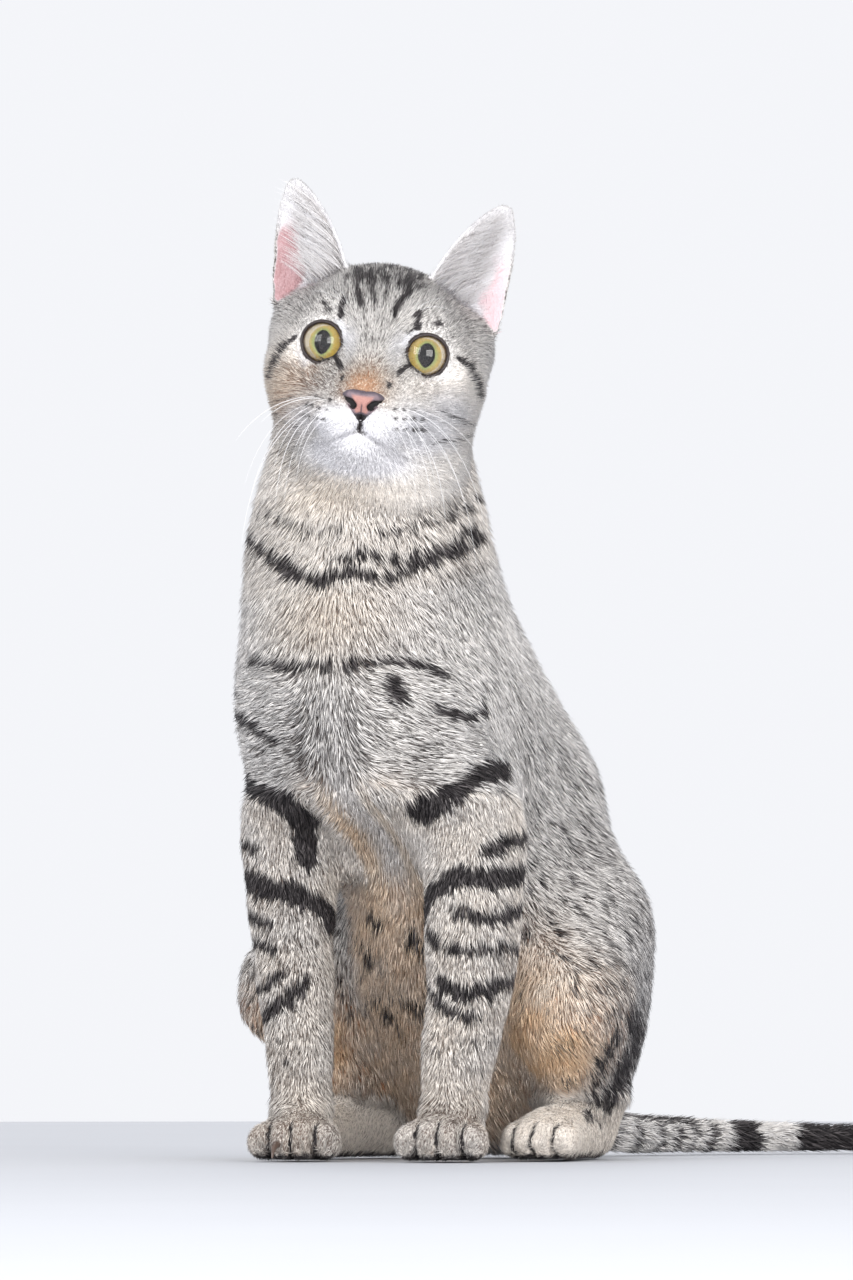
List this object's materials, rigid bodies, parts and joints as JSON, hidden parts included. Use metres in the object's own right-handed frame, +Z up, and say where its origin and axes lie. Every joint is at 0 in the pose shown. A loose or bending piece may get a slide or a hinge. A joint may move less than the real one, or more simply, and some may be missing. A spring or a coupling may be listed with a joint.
{
  "type": "cat",
  "caption": "Seated young tabby cat at life size, upright on straight forelegs with its tail laid behind it, in a short ticked and striped coat.",
  "frame": {"origin": "on the floor, at the middle of the model's box seen from above", "axes": "+Z up; the cat's chest faces -Y and its own left side is +X; its tail runs behind it to +Y"},
  "size_m": [0.1928, 0.379, 0.3764],
  "materials": {
    "coat": "short ticked fur in pale grey-beige with near-black stripes",
    "bare_skin": "fine-grained pinkish brown nose leather and dark eyelid rims",
    "eye": "wet and glossy, olive-gold iris with an upright pupil",
    "horn": "smooth translucent-looking horn of the claw and the whiskers"
  },
  "bodies": {
    "root": {"head": "coat", "muzzle": "coat", "ear_left": "coat", "ear_right": "coat", "eye_left": "eye", "eye_right": "eye", "nose": "bare_skin", "neck": "coat", "trunk": "coat", "foreleg_left": "coat", "foreleg_right": "coat", "forepaw_left": "coat", "forepaw_right": "coat", "claw": "horn", "thigh_left": "coat", "thigh_right": "coat", "hind_foot_left": "coat", "hind_foot_right": "coat", "tail_base": "coat", "tail_middle": "coat", "tail_tip": "coat"}
  },
  "joints": []
}
